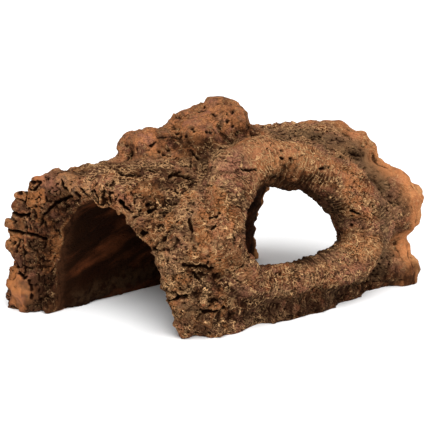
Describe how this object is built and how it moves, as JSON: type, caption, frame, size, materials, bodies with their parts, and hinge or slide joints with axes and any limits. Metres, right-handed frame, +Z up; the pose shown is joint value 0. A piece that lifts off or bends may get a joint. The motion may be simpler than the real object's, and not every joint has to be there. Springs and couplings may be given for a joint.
{
  "type": "hollow log reptile hide",
  "caption": "Half-log reptile hide with a rough bark outside, a tunnel open at both slanted ends, a round knot-hole window in front and a burl on top.",
  "frame": {"origin": "on the floor, at the middle of the log's bounding box", "axes": "+X along the log towards its flared far end, +Z up, -Y out of the knot-hole window"},
  "size_m": [0.27, 0.1518, 0.1347],
  "materials": {
    "bark": "matt weathered bark"
  },
  "bodies": {
    "root": {"hollow_log": "bark"}
  },
  "joints": []
}
